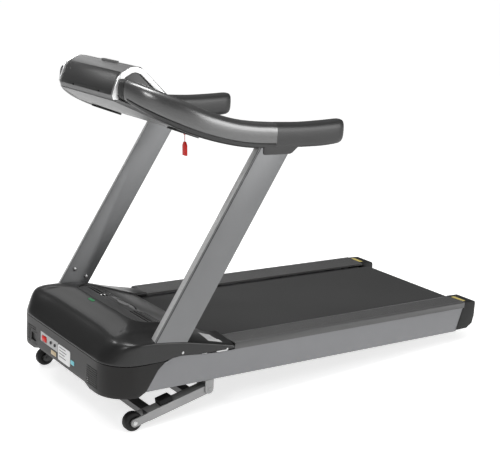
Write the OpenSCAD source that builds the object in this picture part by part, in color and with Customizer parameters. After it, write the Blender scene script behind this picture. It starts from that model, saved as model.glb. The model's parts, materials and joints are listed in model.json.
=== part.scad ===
// Motorised treadmill with a powered incline.
// Everything bolted to the deck is drawn in the deck's own frame: X across, +Y towards the belt's
// rear end, Z up, and deck() then tips it front-up by the incline. The row frame has its origin on
// the floor under the middle of the machine.

/* [Deck] */
// Width over the side panels
deck_w = 877; // [860:1:880]
// Width of each foot rail
rail_w = 122; // [110:1:124]
// Height of the running surface above the deck frame's datum
belt_z = 238.6; // [238:0.1:240]
// Width of the running belt
belt_w = 580; // [520:10:580]
// Length of running deck board
board_len = 1390; // [1300:10:1390]
// Incline at which the machine stands, in degrees
tilt = 3.56; // [3.5:0.01:3.6]

/* [Rollers and drive] */
// Radius of the front and rear rollers
roller_r = 29.6; // [27:0.1:29.6]
// Radius of the roller's poly-V pulley
roller_pulley_r = 42; // [36:1:44]
// Radius of the motor's poly-V pulley
motor_pulley_r = 20; // [16:1:24]
// Radius of the motor's housing
motor_r = 58; // [50:1:60]

/* [Hood] */
// Corner radius of the hood in plan
hood_corner_r = 130; // [110:5:140]
// Wall of the hood mouldings
hood_t = 3; // [2.5:0.5:4]

/* [Incline lift] */
// Distance from lift pivot to wheel axle
lift_arm = 350; // [345:1:352]
// Radius of the lift wheels
wheel_r = 39.6; // [38:0.1:40]
// Width of the lift wheels
wheel_w = 34; // [28:1:34]

/* [Uprights] */
// Width of an upright's inner face
upright_w = 128; // [122:1:130]
// How much wider the outer face is, towards the rear
upright_flare = 17; // [10:1:18]
// Thickness of an upright
upright_t = 27; // [24:1:27]
// Lean of the uprights from the deck's normal, in degrees
upright_lean = 30.76; // [30:0.01:31.5]

/* [Console] */
// Width of the console housing
console_w = 460; // [440:2:470]
// Diameter of the wells in the cup holders
cup_d = 82; // [74:1:86]

/* [Hidden] */
eps = 0.01;

// Placement of the deck frame in the row frame
shift_y = -30;
half_w = deck_w / 2;
rail_in = half_w - rail_w;

// Steel frame
tube_x0 = 345;
tube_x1 = 385;
frame_z0 = 111;
frame_z1 = 171;
frame_y0 = -905;
frame_y1 = 905;

// Side panels
panel_z1 = 225;
panel_t = 3;

// Belt, deck and rollers
belt_t = 2.5;
run_gap = 0.4;
board_t = 25;
board_y0 = -484;
roller_z = belt_z - belt_t - run_gap - roller_r;
front_roller_y = -535;
rear_roller_y = 953;
axle_r = 10;
roller_len = belt_w + 16;
pulley_x0 = 306;
pulley_x1 = 326;

// Motor
motor_y = -765;
motor_z = 198;
motor_x0 = 60;
motor_x1 = 262;
shaft_r = 8.5;

// Hood
hood_hw = half_w + 3;
hood_front = -978;
hood_rear = -402;
waist_z = 228;
ridge_y = -896;
ridge_z = 323;
vent_hw = 292;
crest_hw = 335;

// Incline lift
pivot = [-516, 70];
lift_angle = 13.9;
arm_x0 = 386;
arm_x1 = 434;
arm_h = 38;
horn_x = -200;
horn_r = 80;
horn_lean = 8;
act_z = 147.5;
act_y = -885;
pin_r = 8;

// Uprights and handrails
upright_foot = [-777.6, 324.4];
upright_out = 438;
bolt_spots = [[-714, 380], [-656, 340]];
rail_x = 424;

// Console, as corners of its side outline
console_hw = console_w / 2;
face_top = [-772, 1363];
face_bottom = [-600, 1213];
face_angle = atan2(face_top[1] - face_bottom[1], face_bottom[0] - face_top[0]);
face_len = norm(face_bottom - face_top);

// Cord of the safety tag, hung straight down from its socket
tag_x = 262;
tag_y = -541;
tag_z = 1048;
tag_h = 56;
cord_d = 3;
cord_top = 1134;
key_z = 1139;
cord_pts = [for (z = [cord_top:-2:tag_z + tag_h]) [tag_x, tag_y, z]];

module deck() {
    translate([0, shift_y, 0]) rotate([-tilt, 0, 0]) children();
}

module both() {
    children();
    mirror([1, 0, 0]) children();
}

module side(s) {
    if (s > 0) children();
    else mirror([1, 0, 0]) children();
}

// A solid with the side outline pts, given as [y, z], between two stations in X
module across(pts, x0, x1) {
    translate([x0, 0, 0]) rotate([90, 0, 90]) linear_extrude(x1 - x0) polygon(pts);
}

module rod_x(y, z, r, x0, x1, fn = 64) {
    translate([x0, y, z]) rotate([0, 90, 0]) cylinder(r = r, h = x1 - x0, $fn = fn);
}

module box(lo, hi) {
    translate(lo) cube(hi - lo);
}

// Closed solid through rings of equal point count, capped at both ends
module loft(rings) {
    n = len(rings[0]);
    m = len(rings);
    walls = [for (i = [0:m - 2], j = [0:n - 1])
        [i * n + j, i * n + (j + 1) % n, (i + 1) * n + (j + 1) % n, (i + 1) * n + j]];
    tris = [for (q = walls) each [[q[0], q[1], q[2]], [q[0], q[2], q[3]]]];
    first = [for (j = [1:n - 2]) [0, j + 1, j]];
    last = [for (j = [1:n - 2]) [(m - 1) * n, (m - 1) * n + j, (m - 1) * n + j + 1]];
    polyhedron([for (r = rings) each r], concat(tris, first, last));
}

// ---------------------------------------------------------------- frame
module frame_rail(s) {
    color("dimgray") deck() side(s) difference() {
        box([tube_x0, frame_y0, frame_z0], [tube_x1, frame_y1, frame_z1]);
        box([tube_x0 + 3, frame_y0 - 1, frame_z0 + 3], [tube_x1 - 3, frame_y1 + 1, frame_z1 - 3]);
        rod_x(front_roller_y, roller_z, axle_r + eps, tube_x0 - 1, tube_x1 + 1);
    }
}

module cross_tube(y0, y1, z0, z1, t = 3) {
    difference() {
        box([-tube_x0, y0, z0], [tube_x0, y1, z1]);
        box([-tube_x0 - 1, y0 + t, z0 + t], [tube_x0 + 1, y1 - t, z1 - t]);
    }
}

module middle_crossmember() {
    color("dimgray") deck() cross_tube(180, 230, frame_z0 + 10, frame_z1 - 10);
}

module rear_crossmember() {
    color("dimgray") deck() difference() {
        cross_tube(frame_y1 - 60, frame_y1, frame_z0, frame_z0 + 50);
        for (x = [-foot_x, foot_x])
            translate([x, foot_y, frame_z0 - 1]) cylinder(r = stud_r, h = 60, $fn = 48);
    }
}

// Tray under the drive, with the front cross tube and the incline motor's ears welded to it
module motor_tray() {
    color("gray") deck() {
        difference() {
            box([-tube_x0, -865, 121], [tube_x0, -600, 125]);
            box([-250, -850, 120], [-110, -640, 126]);
        }
        cross_tube(frame_y0, -865, 121, 133);
        for (x = [horn_x - 22, horn_x + 16]) difference() {
            box([x, act_y - 16, 133], [x + 6, act_y + 16, act_z + 16]);
            rod_x(act_y, act_z, pin_r, x - 1, x + 7);
        }
    }
}

module side_panel(s) {
    rear = [[896, frame_z0], [937, panel_z1]];
    pts = [[-812, frame_z0], rear[0], rear[1], [-480, panel_z1], [-560, 229.5], [-657, 238.5],
        [-700, 234.5], [-735, 221.5], [-795, 221.5]];
    color("silver") deck() side(s) {
        across(pts, half_w - panel_t, half_w);
        box([half_w - 40, -800, frame_z0], [half_w - panel_t, 890, frame_z0 + panel_t]);
        box([tube_x1, -600, frame_z1 - 4], [half_w - panel_t, 890, frame_z1]);
    }
}

// ---------------------------------------------------------------- running deck
module deck_board() {
    z1 = belt_z - belt_t - run_gap;
    color("saddlebrown") deck()
        box([-belt_w / 2 - 25, board_y0, z1 - board_t], [belt_w / 2 + 25, board_y0 + board_len, z1]);
}

module deck_cushions() {
    z1 = belt_z - belt_t - run_gap - board_t;
    pad_x = 307;
    pad_r = 12;
    color("black") deck() for (y = [-420:250:830]) both() {
        translate([pad_x, y, frame_z1]) cylinder(r = pad_r, h = z1 - frame_z1, $fn = 48);
        box([pad_x - pad_r, y - 20, frame_z1 - 6], [tube_x0, y + 20, frame_z1]);
    }
}

module loop_2d(y0, y1, r) {
    translate([y0, roller_z]) circle(r = r, $fn = 96);
    translate([y1, roller_z]) circle(r = r, $fn = 96);
    translate([y0, roller_z - r]) square([y1 - y0, 2 * r]);
}

module running_belt() {
    ri = roller_r + run_gap;
    color("#2b2b2d") deck() translate([-belt_w / 2, 0, 0]) rotate([90, 0, 90])
        linear_extrude(belt_w) difference() {
            loop_2d(front_roller_y, rear_roller_y, ri + belt_t);
            loop_2d(front_roller_y, rear_roller_y, ri);
        }
}

// Ribbed top skin, outer wall and inner lip of a foot rail, as [x, z]
rail_rib_n = 10;
rail_top_in = 249.4;
rail_top_out = 255;
function rail_top(x) = rail_top_in + (rail_top_out - rail_top_in) * (x - rail_in) / rail_w;
rail_ribs = [for (i = [0:rail_rib_n - 1]) let (x = rail_in + 12 + i * 9.5)
    each [[x, rail_top(x)], [x + 1, rail_top(x) + 1.6], [x + 3, rail_top(x) + 1.6],
        [x + 4, rail_top(x)]]];
rail_pts = concat(
    [[rail_in, belt_z + 2], [rail_in, rail_top_in]], rail_ribs,
    [[half_w - 3, rail_top_out], [half_w + 1.5, rail_top_out - 5], [half_w + 1.5, panel_z1],
        [half_w - 2, panel_z1], [half_w - 2, rail_top_out - 6], [rail_in + 3, rail_top_in - 4],
        [rail_in + 3, belt_z + 2]]);

module foot_rail(s) {
    color("#4a4b4e") deck() side(s) {
        translate([0, 937, 0]) rotate([90, 0, 0]) linear_extrude(937 - hood_rear - 2)
            polygon(rail_pts);
        for (y = [-380, 30, 440, 850])
            box([tube_x1 - 30, y, frame_z1], [tube_x1, y + 25, 246]);
    }
}

module end_cap(s) {
    outer = [[937, panel_z1], [896, frame_z0 + 7], [965, frame_z0 + 8], [1000, 140], [1018, 175],
        [1018, 236], [1008, 249], [937, 251]];
    color("#222224") deck() side(s) difference() {
        hull() {
            across(outer, rail_in + 6, half_w - 6);
            across([for (p = outer) [min(p[0], 1006), p[1]]], rail_in, half_w + 1.5);
        }
        across([[800, 0], [938, 0], [938, frame_z1 + 60], [800, frame_z1 + 60]],
            rail_in - 1, half_w + 0.05);
        box([rail_in - 1, 800, panel_z1], [half_w + 5, 937.05, 300]);
        box([rail_in + 4, 930, 128], [half_w - 4, 994, 240]);
        rod_x(rear_roller_y, roller_z, axle_r, rail_in - 2, rail_in + 20);
    }
}

// ---------------------------------------------------------------- rollers and drive
module roller(y) {
    difference() {
        rod_x(y, roller_z, roller_r, -roller_len / 2, roller_len / 2, 96);
        rod_x(y, roller_z, axle_r + 0.05, -roller_len / 2 - 1, roller_len / 2 + 30);
        rod_x(y, roller_z, roller_r - 4, -roller_len / 2 + 20, roller_len / 2 - 20);
    }
}

module front_roller() {
    color("lightgray") deck() {
        roller(front_roller_y);
        difference() {
            union() {
                rod_x(front_roller_y, roller_z, roller_pulley_r, pulley_x0, pulley_x1, 96);
                rod_x(front_roller_y, roller_z, 20, roller_len / 2, pulley_x0);
            }
            rod_x(front_roller_y, roller_z, axle_r + 0.05, 290, 330);
        }
    }
}

module rear_roller() {
    color("lightgray") deck() roller(rear_roller_y);
}

module roller_axles() {
    color("silver") deck() {
        rod_x(front_roller_y, roller_z, axle_r, -tube_x1, tube_x1);
        rod_x(rear_roller_y, roller_z, axle_r, -rail_in - 20, rail_in + 20);
    }
}

module drive_motor() {
    color("#3c3d40") deck() {
        difference() {
            rod_x(motor_y, motor_z, motor_r, motor_x0, motor_x1, 96);
            rod_x(motor_y, motor_z, motor_r - 7, motor_x0 + 12, motor_x1 - 12, 96);
            rod_x(motor_y, motor_z, shaft_r + 0.05, motor_x0 - 1, motor_x1 + 1);
        }
        for (x = [motor_x0 + 30, motor_x1 - 60]) difference() {
            box([x, motor_y - 45, 125], [x + 30, motor_y + 45, motor_z]);
            rod_x(motor_y, motor_z, motor_r - 0.5, x - 1, x + 31, 96);
        }
    }
}

module motor_rotor() {
    color("silver") deck() {
        rod_x(motor_y, motor_z, shaft_r, motor_x0 - 12, pulley_x1 + 2);
        rod_x(motor_y, motor_z, 34, motor_x0 + 26, motor_x1 - 26, 96);
        rod_x(motor_y, motor_z, 52, motor_x1 + 6, motor_x1 + 28, 96);
        rod_x(motor_y, motor_z, motor_pulley_r, pulley_x0, pulley_x1, 96);
    }
}

// Outline of a belt round two pulleys, grown by g: discs joined by their outer tangents
module pulley_wrap(g) {
    dy = front_roller_y - motor_y;
    dz = roller_z - motor_z;
    d = norm([dy, dz]);
    ra = motor_pulley_r + g;
    rb = roller_pulley_r + g;
    lean = atan2(dz, dy);
    swing = 90 + asin((rb - ra) / d);
    function on(c, r, a) = [c[0] + r * cos(a), c[1] + r * sin(a)];
    a0 = [motor_y, motor_z];
    b0 = [front_roller_y, roller_z];
    translate(a0) circle(r = ra, $fn = 96);
    translate(b0) circle(r = rb, $fn = 96);
    polygon([on(a0, ra, lean + swing), on(b0, rb, lean + swing), on(b0, rb, lean - swing),
        on(a0, ra, lean - swing)]);
}

module drive_belt() {
    color("#1d1d1f") deck() translate([pulley_x0 + 1, 0, 0]) rotate([90, 0, 90])
        linear_extrude(pulley_x1 - pulley_x0 - 2) difference() {
            pulley_wrap(run_gap + 3.5);
            pulley_wrap(run_gap);
        }
}

module motor_controller() {
    color("darkgreen") deck() {
        box([-95, -780, 125], [25, -640, 131]);
        for (x = [-90:14:-34]) box([x, -770, 131], [x + 4, -660, 172]);
        for (y = [-740, -690]) translate([5, y, 131]) cylinder(r = 13, h = 42, $fn = 48);
    }
}

// ---------------------------------------------------------------- hood
// Plan outline with round front corners
function plan(hw, front, rear, r) = concat(
    [[hw, rear]],
    [for (a = [0:10:90]) [hw - r + r * cos(a), front + r - r * sin(a)]],
    [for (a = [90:10:180]) [-hw + r + r * cos(a), front + r - r * sin(a)]],
    [[-hw, rear]]);

module slab(pts, z, h = 1) {
    translate([0, 0, z - h]) linear_extrude(h) polygon(pts);
}

// Outer form of the hood, set in by t
module hood_form(t) {
    hull() {
        slab(plan(hood_hw - t, hood_front + t, hood_rear, hood_corner_r - t), waist_z,
            waist_z - 60);
        slab(plan(hood_hw - 4 - t, ridge_y - 14 + t, -783, hood_corner_r - 22 - t), ridge_z - 9 - t);
        slab(plan(hood_hw - 26 - t, ridge_y + t, -783, hood_corner_r - 40 - t), ridge_z - t);
        slab([[crest_hw, -790], [-crest_hw, -790], [-crest_hw, -700], [crest_hw, -700]], 349 - t);
        slab([[hood_hw - t, -700], [t - hood_hw, -700], [t - hood_hw, -642],
            [hood_hw - t, -642]], 295 - t);
        slab([[crest_hw, -420], [-crest_hw, -420], [-crest_hw, hood_rear],
            [crest_hw, hood_rear]], 264 - t);
        slab([[hood_hw - t, -420], [t - hood_hw, -420], [t - hood_hw, hood_rear],
            [hood_hw - t, hood_rear]], 245 - t);
    }
}

// Side boundary between the hood and the side panel, as [y, z]
skirt_pts = [[-2000, -100], [-800, -100], [-826, 104], [-812, 112], [-790, 150], [-764, 195],
    [-735, 223], [-700, 236], [-657, 240], [-560, 231], [-399, 217], [-399, 600], [-2000, 600]];

module upright_slot(s) {
    side(s) across(upright_outline(1.5), upright_out - upright_t - 1.5, upright_out + 5);
}

module hood_top() {
    color("#3a3b3e") deck() difference() {
        intersection() {
            difference() {
                hood_form(0);
                hood_form(hood_t);
            }
            across(skirt_pts, -600, 600);
            box([-600, -1100, waist_z], [600, hood_rear, 400]);
        }
        slab(plan(vent_hw, -785, -300, 70), 500, 260);
        box([rail_in - 1, -430, 200], [half_w - 3, hood_rear + 5, rail_top_out + 1.5]);
        mirror([1, 0, 0])
            box([rail_in - 1, -430, 200], [half_w - 3, hood_rear + 5, rail_top_out + 1.5]);
        upright_slot(1);
        upright_slot(-1);
        both() for (p = bolt_spots)
            rod_x(p[0], p[1], 11, upright_out - upright_t - 12, upright_out - upright_t + 1);
    }
}

module hood_lower() {
    color("#2e2e31") deck() difference() {
        intersection() {
            difference() {
                hood_form(0);
                hood_form(hood_t);
            }
            across(skirt_pts, -600, 600);
            box([-600, -1100, 90], [600, -700, waist_z]);
        }
        box([-222, -1000, 60], [222, -860, 104]);
        box([-300, -1000, 114], [-228, -900, 172]);
        box([-196, -1000, 148], [-24, -900, 192]);
        for (z = [114:9:186], s = [-1, 1]) side(s)
            box([240, -1000, z], [330, -940, z + 4]);
    }
}

// Sloping top panel over the motor bay, as [y, z]
function vent_top(y) = y < -690 ? 343 - 0.09 * (y + 782) : 334.7 - 0.33 * (y + 690);
vent_pts = [[-782, vent_top(-782)], [-690, vent_top(-690)], [-456, vent_top(-456)],
    [-456, vent_top(-456) - 3], [-690, vent_top(-690) - 3], [-782, vent_top(-782) - 3]];

module vent_panel() {
    arc_r = 150;
    color("#505154") deck() difference() {
        intersection() {
            across(vent_pts, -vent_hw, vent_hw);
            slab(plan(vent_hw - 0.5, -784.5, -440, 69.5), 500, 400);
        }
        for (i = [0:4], s = [-1, 1]) side(s)
            box([112, -722 + 17 * i, 200], [270, -713 + 17 * i, 400]);
        translate([0, -640 - arc_r, 200]) intersection() {
            difference() {
                cylinder(r = arc_r, h = 200, $fn = 96);
                translate([0, 0, -1]) cylinder(r = arc_r - 9, h = 202, $fn = 96);
            }
            box([-84, 90, 0], [84, 200, 200]);
        }
    }
}

// ---------------------------------------------------------------- mains panel on the hood's nose
module rod_y(x, z, r, y0, y1, fn = 48) {
    translate([x, y0, z]) rotate([-90, 0, 0]) cylinder(r = r, h = y1 - y0, $fn = fn);
}

power_x = -156;
power_z = 166;
breaker_x = [-92, -53];
breaker_z = 170;

module power_plate() {
    color("silver") deck() difference() {
        box([-195.5, -976, 148.5], [-24.5, -973, 191.5]);
        box([power_x - 21.3, -980, power_z - 14.3], [power_x + 21.3, -970, power_z + 14.3]);
        for (x = breaker_x) rod_y(x, breaker_z, 7.1, -980, -970);
    }
}

module power_inlet() {
    color("#151517") deck() difference() {
        box([-299.5, -976, 114.5], [-228.5, -930, 171.5]);
        box([-288, -977, 126], [-240, -940, 160]);
    }
    color("silver") deck() for (x = [-276, -264, -252])
        box([x - 2, -950, 140], [x + 2, -940, 146]);
}

module power_switch() {
    color("red") deck() difference() {
        intersection() {
            box([power_x - 20, -982, power_z - 12], [power_x + 20, -958, power_z + 12]);
            rod_x(-958, power_z, 22, power_x - 20, power_x + 20);
        }
        rod_x(-966, power_z, 2.05, power_x - 21, power_x + 21, 32);
    }
    color("silver") deck() rod_x(-966, power_z, 2, power_x - 21, power_x + 21, 32);
}

module breaker_button(i) {
    color("black") deck() {
        rod_y(breaker_x[i], breaker_z, 6.8, -980, -962);
        rod_y(breaker_x[i], breaker_z, 9.5, -968, -962);
    }
}

// ---------------------------------------------------------------- incline lift
// Lift frame's own layout: pivot at the origin, arm along -Y, then turned down to the rest angle
module lift_pose() {
    translate([0, pivot[0], pivot[1]]) rotate([lift_angle, 0, 0]) children();
}

module lift_arm_solid() {
    difference() {
        union() {
            box([arm_x0, -lift_arm + 62, -arm_h / 2], [arm_x1, -4, arm_h / 2]);
            rod_x(0, 0, arm_h / 2, arm_x0, arm_x1);
            for (x = [arm_x0 - 6, arm_x1 - 6]) {
                box([x, -lift_arm, -17], [x + 6, -lift_arm + 90, 17]);
                rod_x(-lift_arm, 0, 17, x, x + 6);
            }
        }
        rod_x(0, 0, pin_r + 0.05, arm_x0 - 10, arm_x1 + 10);
    }
    rod_x(-lift_arm, 0, 6, arm_x0 - 9, arm_x1 + 3);
}

module lift_frame() {
    color("silver") deck() lift_pose() {
        both() lift_arm_solid();
        box([-arm_x0, -lift_arm + 62, -20], [arm_x0, -lift_arm + 102, 12]);
        box([-arm_x0, -92, -19], [arm_x0, -56, 13]);
        rotate([-lift_angle - horn_lean, 0, 0]) {
            for (x = [horn_x - 9, horn_x + 3]) {
                rod_x(0, horn_r, 12, x, x + 6);
                across([[-62, -55], [-38, -55], [11, horn_r - 5], [-11.5, horn_r + 3]], x, x + 6);
            }
            rod_x(0, horn_r, 6, horn_x - 12, horn_x + 12);
        }
    }
}

module lift_brackets() {
    color("silver") deck() both() {
        for (x = [tube_x1 - 13, arm_x1 + 1]) difference() {
            union() {
                box([x, pivot[0] - 20, pivot[1]], [x + 5, pivot[0] + 20, frame_z0]);
                rod_x(pivot[0], pivot[1], 20, x, x + 5);
            }
            rod_x(pivot[0], pivot[1], pin_r, x - 1, x + 6);
        }
        rod_x(pivot[0], pivot[1], pin_r, tube_x1 - 17, arm_x1 + 8);
    }
}

module lift_bump_stops() {
    color("black") deck() lift_pose() both()
        box([arm_x0 + 3, -228, arm_h / 2], [arm_x1 - 3, -168, arm_h / 2 + 25]);
}

module lift_motor() {
    color("#333436") deck() difference() {
        union() {
            rod_x(act_y, act_z, 13, horn_x - 15.5, horn_x + 15.5);
            box([horn_x - 14, act_y, act_z - 12], [horn_x + 14, act_y + 50, act_z + 12]);
            rod_y(horn_x, act_z, 24, act_y + 40, act_y + 100);
            rod_y(horn_x, act_z, 18, act_y + 100, act_y + 250);
            rod_y(horn_x + 52, act_z + 8, 28, act_y + 42, act_y + 170);
            box([horn_x, act_y + 42, act_z - 18], [horn_x + 52, act_y + 96, act_z + 30]);
        }
        rod_x(act_y, act_z, pin_r + 0.05, horn_x - 20, horn_x + 20);
        rod_y(horn_x, act_z, 12.3, act_y + 60, act_y + 251);
    }
    color("silver") deck() rod_x(act_y, act_z, pin_r, horn_x - 24, horn_x + 24);
}

// Threaded tube that the incline motor pulls in; its eye is open round the horn's pin
module lift_screw() {
    tip = pivot[0] + horn_r * sin(horn_lean);
    color("lightgray") deck() difference() {
        union() {
            rod_y(horn_x, act_z, 12, act_y + 130, tip - 40);
            rod_x(tip, act_z, 14, horn_x - 2.6, horn_x + 2.6);
            box([horn_x - 2.6, tip - 42, act_z - 9], [horn_x + 2.6, tip, act_z + 9]);
        }
        rod_x(tip, act_z, 9, horn_x - 4, horn_x + 4);
    }
}

module wheel(s) {
    wx0 = (arm_x0 + arm_x1 - wheel_w) / 2 - 3;
    color("#202022") deck() lift_pose() side(s) difference() {
        union() {
            rod_x(-lift_arm, 0, wheel_r, wx0 + 3, wx0 + wheel_w - 3, 96);
            rod_x(-lift_arm, 0, wheel_r - 3, wx0, wx0 + wheel_w, 96);
            rod_x(-lift_arm, 0, 13, arm_x0 + 0.5, arm_x1 - 6.5);
        }
        rod_x(-lift_arm, 0, 6.05, arm_x0 - 1, arm_x1);
    }
}

// ---------------------------------------------------------------- rear feet
foot_x = 235;
foot_y = 875;
stud_r = 6;
ball_z = 82;

module foot_studs() {
    color("silver") deck() both() translate([foot_x, foot_y, 0]) {
        translate([0, 0, ball_z]) cylinder(r = stud_r, h = frame_z0 + 50 - ball_z, $fn = 48);
        translate([0, 0, ball_z]) sphere(r = 9, $fn = 48);
        translate([0, 0, frame_z0 - 8]) cylinder(r = 11, h = 8, $fn = 6);
    }
}

// The pad stands level on the floor and turns on the stud's ball
module rear_foot(s) {
    floor_ball = foot_ball();
    color("#1c1c1e") side(s) difference() {
        translate([foot_x, floor_ball[0], 0]) union() {
            cylinder(r = 28, h = 10, $fn = 64);
            cylinder(r = 14, h = floor_ball[1] + 3, $fn = 64);
        }
        translate([foot_x, floor_ball[0], floor_ball[1]]) sphere(r = 9.3, $fn = 48);
        translate([foot_x, floor_ball[0], floor_ball[1]]) cylinder(r = 11, h = 30, $fn = 48);
    }
}
function foot_ball() = [shift_y + foot_y * cos(tilt) + ball_z * sin(tilt),
    -foot_y * sin(tilt) + ball_z * cos(tilt)];

// ---------------------------------------------------------------- uprights
// Side outline of an upright, grown by g, as [y, z]
function up(t, w) = [upright_foot[0] + t * sin(upright_lean) + w * cos(upright_lean),
    upright_foot[1] + t * cos(upright_lean) - w * sin(upright_lean)];
upright_base = 172;
front_w = -4;
upright_top = 1074;
function up_z(z, w) = up((z - upright_foot[1] + w * sin(upright_lean)) / cos(upright_lean), w);
function upright_face(w0, w1, g) = [up_z(upright_base, w0 - g), up_z(upright_base, w1 + g),
    up_z(upright_top + g, w1 + g), up_z(upright_top + g, w0 - g)];
function upright_outline(g) = upright_face(front_w, front_w + upright_w + upright_flare, g);

// Tapered section of an upright between its inner and outer faces, shrunk by t
module upright_solid(t) {
    hull() {
        across(upright_face(front_w, front_w + upright_w, -t), upright_out - upright_t + t,
            upright_out - upright_t + t + eps);
        across(upright_face(front_w + 6, front_w + upright_w + upright_flare, -t),
            upright_out - t - eps, upright_out - t);
    }
}

module upright(s) {
    x0 = upright_out - upright_t;
    color("silver") deck() side(s) {
        difference() {
            upright_solid(0);
            upright_solid(3);
            box([half_w - panel_t - 0.5, -1100, 0], [half_w + 9, -400, panel_z1 + 15]);
        }
        box([tube_x1, -858, frame_z0 + 10], [x0 + 3, -748, upright_base + 30]);
    }
}

module upright_bolts() {
    x0 = upright_out - upright_t;
    color("silver") deck() both() {
        for (p = bolt_spots) rod_x(p[0], p[1], 9, x0 - 6, x0, 6);
        for (y = [-840, -770]) rod_x(y, upright_base + 12, 8, tube_x1 - 6, tube_x1, 6);
    }
}

// ---------------------------------------------------------------- handrails
// Stations along a handrail: [x, y, z of the middle, height, width]
rail_path = [
    [226, -856, 1284, 68, 36],
    [258, -851, 1281, 78, 44],
    [300, -831, 1268, 92, 53],
    [348, -796, 1248, 104, 60],
    [388, -738, 1220, 114, 60],
    [410, -665, 1190, 117, 58],
    [421, -580, 1160, 112, 57],
    [rail_x, -470, 1132, 108, 57],
    [rail_x, -370, 1117, 108, 57],
    [rail_x, -262, 1110, 107, 57]
];
grip_path = [
    [rail_x, -261.6, 1110, 107, 57],
    [rail_x, -140, 1108, 104, 57],
    [rail_x, -20, 1110, 107, 57],
    [rail_x, 60, 1115, 105, 56],
    [rail_x, 84, 1117, 90, 46],
    [rail_x, 92, 1118, 66, 30]
];
// Ring of a handrail at station i: a rounded section square to the path
function heading(p, i) = let (a = p[max(i - 1, 0)], b = p[min(i + 1, len(p) - 1)])
    atan2(b[0] - a[0], b[1] - a[1]);
function section(p, i, n = 16) = [for (k = [0:n - 1]) let (a = 360 * k / n,
    u = pow(abs(cos(a)), 0.7) * sign(cos(a)) * p[i][4] / 2,
    v = pow(abs(sin(a)), 0.7) * sign(sin(a)) * p[i][3] / 2)
    [p[i][0] + u * cos(heading(p, i)), p[i][1] - u * sin(heading(p, i)), p[i][2] + v]];

module handrail(s) {
    color("#3f4043") deck() side(s) difference() {
        handrail_hull(0);
        box([0, -1000, 1000], [console_hw + 7.2, -700, 1500]);
        across(upright_outline(0.3), upright_out - upright_t - 0.3, upright_out + 0.3);
    }
}

module grip(s) {
    color("#2f3033") deck() side(s) {
        difference() {
            loft([for (i = [0:len(grip_path) - 1]) section(grip_path, i)]);
            across(upright_outline(0.3), upright_out - upright_t - 0.3, upright_out + 0.3);
        }
        difference() {
            across([[-318, 1034], [-180, 1032], [-146, 1058], [-146, 1075], [-261.5, 1075],
                [-261.5, 1054], [-311, 1052]], upright_out - upright_t - 4, upright_out + 5);
            across(upright_outline(0.3), upright_out - upright_t - 0.3, upright_out + 0.3);
            loft([for (i = [0:len(grip_path) - 1]) section(grip_path, i)]);
        }
    }
}

// ---------------------------------------------------------------- console
shell_pts = [[-884, 1236], [-893, 1258], [-888, 1275], [-870, 1324], [-853, 1342], [-816, 1361],
    [-796, 1365], face_top, face_bottom, [-600, 1200], [-700, 1180]];
shell_in = [[-880, 1240], [-889, 1258], [-884, 1274], [-867, 1322], [-850, 1338], [-815, 1357],
    [-796, 1361], [-773, 1359], [-604, 1212], [-604, 1203], [-700, 1184]];

module console_housing() {
    color("#6c6d70") deck() difference() {
        across(shell_pts, -console_hw, console_hw);
        across(shell_in, 4 - console_hw, console_hw - 4);
        face_frame() box([-console_hw + 10, 8, -8], [console_hw - 10, face_len - 8, 8]);
        back_panel_solid(0.5);
    }
    color("#6c6d70") deck() box([-32, -806, 1364], [88, -792, 1372]);
}

// Frame on the runner's face: X across, Y down the slope, Z out of the face
module face_frame() {
    translate([0, face_top[0], face_top[1]]) rotate([-face_angle, 0, 0]) children();
}

module back_panel_solid(g) {
    across([[-893.5 - g, 1256 - g], [-889 - g, 1275], [-870.5 - g, 1326], [-853 - g, 1345 + g],
        [-848 + g, 1339 + g], [-864, 1320], [-882 + g, 1273], [-886.5 + g, 1256 - g]],
        -console_hw + 14 - g, console_hw - 14 + g);
}

module console_back_panel() {
    color("#333336") deck() difference() {
        back_panel_solid(0);
        for (x = [-104, 116]) box([x - 7, -900, 1250], [x + 7, -870, 1262]);
    }
}

// Bright arch on each side of the console, following its outline
arch_out = [[-890, 1240], [-895, 1258], [-890, 1276], [-872, 1326], [-855, 1343], [-817, 1363],
    [-796, 1366], [-768, 1357], [-640, 1241]];
arch_in = [[-655, 1227], [-776, 1336], [-797, 1343], [-813, 1341], [-839, 1327], [-852, 1314],
    [-868, 1270], [-872, 1258], [-868, 1240]];

module console_arches() {
    color("gainsboro") deck() both()
        across(concat(arch_out, arch_in), console_hw, console_hw + 7);
}

module console_tray() {
    color("#5c5d60") deck() difference() {
        hull() {
            across([[-886, 1234], [-884, 1246], [-870, 1246], [-870, 1230]], -224, 224);
            across([[-740, 1164], [-740, 1184], [-690, 1172], [-690, 1145]], -362, 362);
            across([[-600, 1115], [-600, 1160], [-550, 1128], [-545, 1098]], -388, 388);
        }
        both() handrail_hull(1);
        across(shell_pts, -console_hw - 0.01, console_hw + 0.01);
        both() across(concat(arch_out, arch_in), console_hw - 0.01, console_hw + 7.01);
        for (s = [-1, 1]) side(s) translate([cup_x, cup_y, 1000])
            cylinder(r = cup_d / 2 + 3, h = 300, $fn = 96);
        rotate([tilt, 0, 0]) translate([0, -shift_y, 0]) key_socket();
    }
}

// Handrail form grown by g, used to trim the tray
module handrail_hull(g) {
    grown = [for (p = rail_path) [p[0], p[1], p[2], p[3] + 2 * g, p[4] + 2 * g]];
    loft([for (i = [0:len(grown) - 1]) section(grown, i)]);
}

cup_x = 318;
cup_y = -622;
cup_z = 1130;
cup_h = 62;
tray_under = 1122;
tray_slope = 17.9;

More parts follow.
